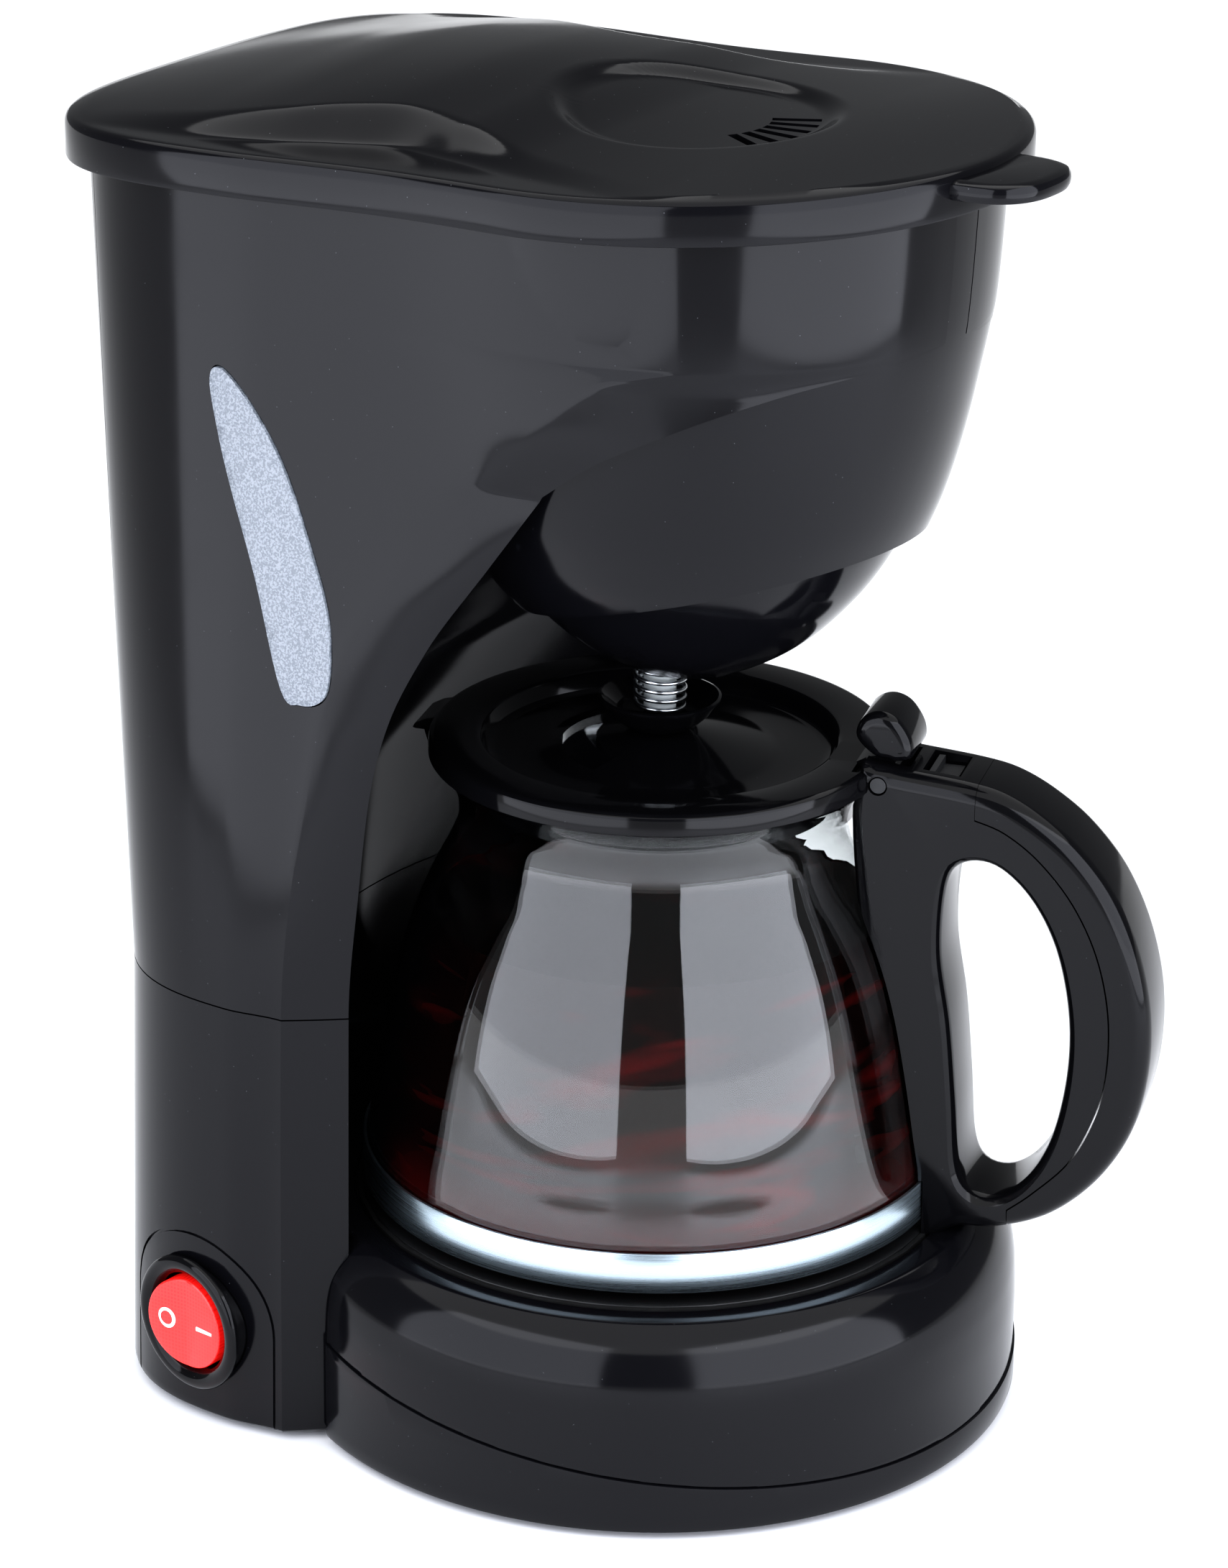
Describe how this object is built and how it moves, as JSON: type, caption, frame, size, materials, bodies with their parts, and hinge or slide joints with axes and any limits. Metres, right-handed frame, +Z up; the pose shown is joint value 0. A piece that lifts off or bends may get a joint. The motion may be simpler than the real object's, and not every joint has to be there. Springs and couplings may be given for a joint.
{
  "type": "drip coffee maker",
  "caption": "Drip coffee maker with a leaning tower, water window, hinged lid, rounded brew head, hot plate drum and a glass jug with a loop handle.",
  "frame": {"origin": "middle of the footprint box, on the table the feet stand on", "axes": "+Z up; the front with the jug handle faces -Y; the switch and water window are on -X"},
  "size_m": [0.1526, 0.2166, 0.2711],
  "materials": {
    "gloss_black_casing": "moulded black, high gloss",
    "gloss_black_jug": "moulded black, gloss",
    "matt_black_plastic": "moulded black, fine spark-eroded matt",
    "rubber_feet": "moulded rubber",
    "steel_wire": "drawn and plated steel",
    "coated_plate": "black non-stick coating on pressed steel",
    "silicone": "translucent silicone rubber",
    "cast_aluminium": "extruded aluminium, mill finish",
    "milky_plastic": "milky translucent polypropylene",
    "frosted_plastic": "frosted translucent polypropylene",
    "red_plastic": "translucent red polycarbonate with a fine grid behind its face",
    "clear_glass": "clear pressed glass",
    "brushed_band": "rolled band, fine lengthwise brush lines"
  },
  "bodies": {
    "machine": {"upper_housing": "gloss_black_casing", "lower_housing": "gloss_black_casing", "rear_cover": "gloss_black_casing", "drum_shell": "gloss_black_casing", "base_ring": "gloss_black_casing", "base_plate": "matt_black_plastic", "foot_front_left": "rubber_feet", "foot_front_right": "rubber_feet", "foot_rear_left": "rubber_feet", "foot_rear_right": "rubber_feet", "base_screw_1": "steel_wire", "base_screw_2": "steel_wire", "base_screw_3": "steel_wire", "base_screw_4": "steel_wire", "hot_plate": "coated_plate", "plate_seal": "silicone", "heater_tube": "cast_aluminium", "thermostat": "steel_wire", "thermal_fuse": "milky_plastic", "cold_hose": "silicone", "hot_hose": "silicone", "check_valve": "milky_plastic", "water_tank": "frosted_plastic", "riser_tube": "milky_plastic", "water_window": "frosted_plastic", "bowl": "gloss_black_casing", "filter_basket": "matt_black_plastic", "filter_mesh": "milky_plastic", "filter_bail": "matt_black_plastic", "drip_seal": "silicone", "drip_spring": "steel_wire", "switch_bezel": "gloss_black_casing", "switch_body": "matt_black_plastic", "cord_gland": "matt_black_plastic", "lid_pin_left": "steel_wire", "lid_pin_right": "steel_wire"},
    "lid": {"top_lid": "gloss_black_casing", "spray_head": "matt_black_plastic"},
    "drip_stop": {"drip_stem": "milky_plastic", "drip_dish": "matt_black_plastic"},
    "rocker": {"switch_rocker": "red_plastic"},
    "jug": {"jug_glass": "clear_glass", "jug_band": "brushed_band", "jug_handle": "gloss_black_jug", "handle_grip": "gloss_black_jug", "band_screw": "steel_wire", "lid_clip": "matt_black_plastic", "jug_lid": "gloss_black_jug", "thumb_lever": "gloss_black_jug", "jug_pin": "matt_black_plastic"}
  },
  "joints": [
    {"name": "lid_hinge", "type": "hinge", "parent": "machine", "child": "lid", "pos_m": [0.00129, 0.10579, 0.24685], "axis": [-1, 0, 0], "range_deg": [0, 75]},
    {"name": "drip_stop_slide", "type": "slide", "parent": "machine", "child": "drip_stop", "axis": [0, 0, 1], "range_m": [0, 0.003], "stiffness_N_per_m": 60, "springref_m": -0.005, "deforming": ["drip_spring"]},
    {"name": "rocker_tilt", "type": "hinge", "parent": "machine", "child": "rocker", "pos_m": [-0.07239, 0.05278, 0.0218], "axis": [0, 0, 1], "range_deg": [-12, 0]},
    {"name": "jug_slide", "type": "slide", "parent": "machine", "child": "jug", "axis": [0, -1, 0], "range_m": [0, 0.18]}
  ]
}
